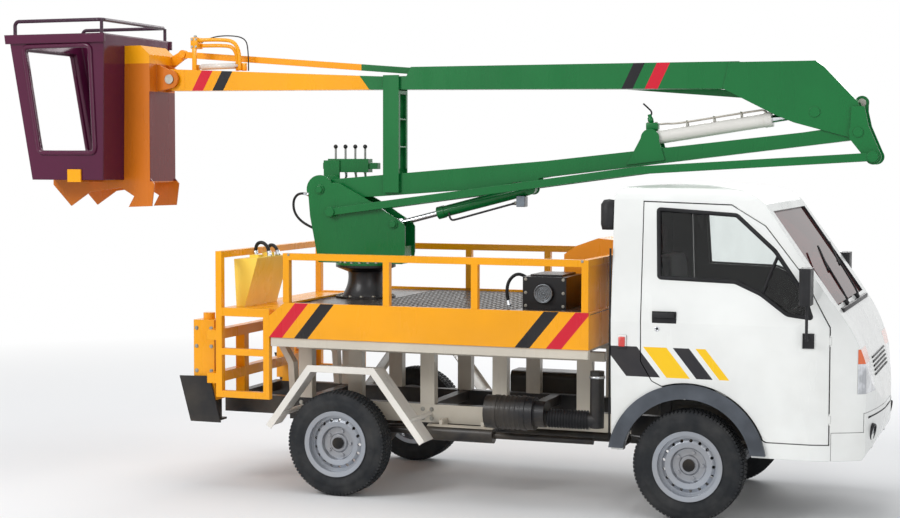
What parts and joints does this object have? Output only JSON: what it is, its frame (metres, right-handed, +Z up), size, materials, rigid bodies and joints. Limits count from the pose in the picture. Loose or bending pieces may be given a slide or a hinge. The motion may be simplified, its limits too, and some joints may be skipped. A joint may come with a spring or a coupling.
{
  "type": "cherry picker truck",
  "caption": "Small cab-over truck with a railed deck, a slewing turret, two folding booms, a levelled bucket and rear stabilisers",
  "frame": {"origin": "on the ground in the middle of the truck's length and width, booms stowed", "axes": "+X forward, +Y to the truck's left, +Z up"},
  "size_m": [5.537, 1.85, 2.879],
  "materials": {
    "truck_white": "gloss enamel",
    "deck_yellow": "gloss enamel",
    "boom_green": "gloss enamel",
    "bucket_maroon": "glossy moulded plastic",
    "frame_grey": "pale grey enamel",
    "black_steel": "satin black paint",
    "rim_steel": "silver wheel enamel",
    "tyre_rubber": "matt rubber",
    "pin_steel": "turned steel",
    "rod_chrome": "hard chrome",
    "clear_glass": "clear glass",
    "lamp_glass": "clear lens with an amber top",
    "cabin_plastic": "grained plastic",
    "seat_fabric": "woven cover",
    "engine_iron": "dull iron"
  },
  "bodies": {
    "chassis": {"chassis_frame": "black_steel", "cab_shell": "truck_white", "front_bumper": "truck_white", "rear_mudguards": "truck_white", "deck_body": "deck_yellow", "deck_rails": "deck_yellow", "rear_platform": "deck_yellow", "oil_tank": "deck_yellow", "pump_cover": "deck_yellow", "stabiliser_sleeves": "deck_yellow", "deck_frame": "frame_grey", "rear_axle": "black_steel", "front_axle": "black_steel", "leaf_springs": "black_steel", "air_cleaner": "black_steel", "fuel_tank": "black_steel", "pedestal": "black_steel", "power_pack": "black_steel", "cab_glass": "clear_glass", "headlamps": "lamp_glass", "dashboard": "cabin_plastic", "steering_wheel": "cabin_plastic", "arch_flares": "cabin_plastic", "seats": "seat_fabric", "engine": "engine_iron"},
    "knuckle_right": {"knuckle_right": "black_steel"},
    "knuckle_left": {"knuckle_left": "black_steel"},
    "wheel_front_right": {"rim_front_right": "rim_steel", "tyre_front_right": "tyre_rubber"},
    "wheel_front_left": {"rim_front_left": "rim_steel", "tyre_front_left": "tyre_rubber"},
    "wheel_rear_right": {"rim_rear_right": "rim_steel", "tyre_rear_right": "tyre_rubber"},
    "wheel_rear_left": {"rim_rear_left": "rim_steel", "tyre_rear_left": "tyre_rubber"},
    "door_right": {"door_right": "truck_white", "door_glass_right": "clear_glass", "mirror_right": "cabin_plastic"},
    "door_left": {"door_left": "truck_white", "door_glass_left": "clear_glass", "mirror_left": "cabin_plastic"},
    "stabiliser_right": {"stabiliser_leg_right": "black_steel"},
    "stabiliser_left": {"stabiliser_leg_left": "black_steel"},
    "turret": {"turret": "boom_green", "valve_block": "boom_green"},
    "lower_boom": {"lower_boom": "boom_green", "boom_rest": "boom_green"},
    "lower_links": {"lower_links": "boom_green"},
    "level_lever": {"level_lever": "boom_green"},
    "lift_barrel": {"lift_barrel": "boom_green"},
    "lift_rod": {"lift_rod": "rod_chrome"},
    "upper_boom": {"upper_boom": "boom_green", "boom_tip": "deck_yellow"},
    "luff_barrel": {"luff_barrel": "truck_white"},
    "luff_rod": {"luff_rod": "rod_chrome"},
    "link_pin": {"link_pin": "pin_steel"},
    "upper_link": {"upper_link": "boom_green"},
    "bucket_pin": {"bucket_pin": "pin_steel"},
    "bucket": {"bucket": "bucket_maroon", "bucket_column": "deck_yellow"}
  },
  "joints": [
    {"name": "steering_right", "type": "hinge", "parent": "chassis", "child": "knuckle_right", "pos_m": [1.7715, -0.575, 0.31], "axis": [0, 0, 1], "range_deg": [-30, 30]},
    {"name": "steering_left", "type": "hinge", "parent": "chassis", "child": "knuckle_left", "pos_m": [1.7715, 0.575, 0.31], "axis": [0, 0, 1], "range_deg": [-30, 30]},
    {"name": "wheel_front_right_spin", "type": "hinge", "parent": "knuckle_right", "child": "wheel_front_right", "pos_m": [1.7715, -0.6375, 0.31], "axis": [0, 1, 0], "continuous": true},
    {"name": "wheel_front_left_spin", "type": "hinge", "parent": "knuckle_left", "child": "wheel_front_left", "pos_m": [1.7715, 0.6375, 0.31], "axis": [0, 1, 0], "continuous": true},
    {"name": "wheel_rear_right_spin", "type": "hinge", "parent": "chassis", "child": "wheel_rear_right", "pos_m": [-0.3285, -0.6375, 0.31], "axis": [0, 1, 0], "continuous": true},
    {"name": "wheel_rear_left_spin", "type": "hinge", "parent": "chassis", "child": "wheel_rear_left", "pos_m": [-0.3285, 0.6375, 0.31], "axis": [0, 1, 0], "continuous": true},
    {"name": "door_right_hinge", "type": "hinge", "parent": "chassis", "child": "door_right", "pos_m": [2.5335, -0.708, 0.8], "axis": [0, 0, 1], "range_deg": [0, 65]},
    {"name": "door_left_hinge", "type": "hinge", "parent": "chassis", "child": "door_left", "pos_m": [2.5335, 0.708, 0.8], "axis": [0, 0, -1], "range_deg": [0, 65]},
    {"name": "stabiliser_right_slide", "type": "slide", "parent": "chassis", "child": "stabiliser_right", "axis": [0, 0, -1], "range_m": [0, 0.385]},
    {"name": "stabiliser_left_slide", "type": "slide", "parent": "chassis", "child": "stabiliser_left", "axis": [0, 0, -1], "range_m": [0, 0.385]},
    {"name": "turret_slew", "type": "hinge", "parent": "chassis", "child": "turret", "pos_m": [-0.4285, 0, 1.33], "axis": [0, 0, 1], "range_deg": [-110, 110]},
    {"name": "lower_boom_lift", "type": "hinge", "parent": "turret", "child": "lower_boom", "pos_m": [-0.7035, 0, 1.798], "axis": [0, -1, 0], "range_deg": [0, 60]},
    {"name": "lower_links_swing", "type": "hinge", "parent": "turret", "child": "lower_links", "pos_m": [-0.6185, 0, 1.66], "axis": [0, -1, 0], "range_deg": [0, 60]},
    {"name": "level_lever_turn", "type": "hinge", "parent": "lower_boom", "child": "level_lever", "pos_m": [2.5895, 0, 2.146], "axis": [0, -1, 0], "range_deg": [-60, 0]},
    {"name": "lift_barrel_swing", "type": "hinge", "parent": "lower_boom", "child": "lift_barrel", "pos_m": [0.6565, 0, 1.812], "axis": [0, -1, 0], "range_deg": [0, 8.4]},
    {"name": "lift_rod_slide", "type": "slide", "parent": "lift_barrel", "child": "lift_rod", "axis": [-0.9683, 0, -0.2496], "range_m": [0, 0.5114]},
    {"name": "upper_boom_luff", "type": "hinge", "parent": "lower_boom", "child": "upper_boom", "pos_m": [2.5895, 0, 2.146], "axis": [0, 1, 0], "range_deg": [0, 75]},
    {"name": "luff_barrel_swing", "type": "hinge", "parent": "lower_boom", "child": "luff_barrel", "pos_m": [1.3945, 0, 2.114], "axis": [0, -1, 0], "range_deg": [0, 4.68]},
    {"name": "luff_rod_slide", "type": "slide", "parent": "luff_barrel", "child": "luff_rod", "axis": [0.9882, 0, 0.1529], "range_m": [0, 0.3169]},
    {"name": "link_pin_turn", "type": "hinge", "parent": "level_lever", "child": "link_pin", "pos_m": [2.5895, 0.097, 2.314], "axis": [0, -1, 0], "range_deg": [0, 60]},
    {"name": "upper_link_swing", "type": "hinge", "parent": "link_pin", "child": "upper_link", "pos_m": [2.5895, 0.106, 2.314], "axis": [0, 1, 0], "range_deg": [0, 75]},
    {"name": "bucket_pin_turn", "type": "hinge", "parent": "upper_boom", "child": "bucket_pin", "pos_m": [-1.7685, 0, 2.5], "axis": [0, -1, 0], "range_deg": [0, 75]},
    {"name": "bucket_level", "type": "hinge", "parent": "bucket_pin", "child": "bucket", "pos_m": [-1.7685, 0, 2.5], "axis": [0, -1, 0], "range_deg": [-60, 0]}
  ],
  "couplings": [
    {"joint": "steering_left", "follows": "steering_right", "ratio": 1},
    {"joint": "lower_links_swing", "follows": "lower_boom_lift", "ratio": 1},
    {"joint": "level_lever_turn", "follows": "lower_boom_lift", "ratio": -1},
    {"joint": "lift_barrel_swing", "follows": "lower_boom_lift", "ratio": 0.14},
    {"joint": "lift_rod_slide", "follows": "lower_boom_lift", "m_per_rad": 0.48835},
    {"joint": "link_pin_turn", "follows": "lower_boom_lift", "ratio": 1},
    {"joint": "bucket_level", "follows": "lower_boom_lift", "ratio": -1},
    {"joint": "luff_barrel_swing", "follows": "upper_boom_luff", "ratio": 0.0624},
    {"joint": "luff_rod_slide", "follows": "upper_boom_luff", "m_per_rad": 0.24209},
    {"joint": "upper_link_swing", "follows": "upper_boom_luff", "ratio": 1},
    {"joint": "bucket_pin_turn", "follows": "upper_boom_luff", "ratio": 1}
  ]
}
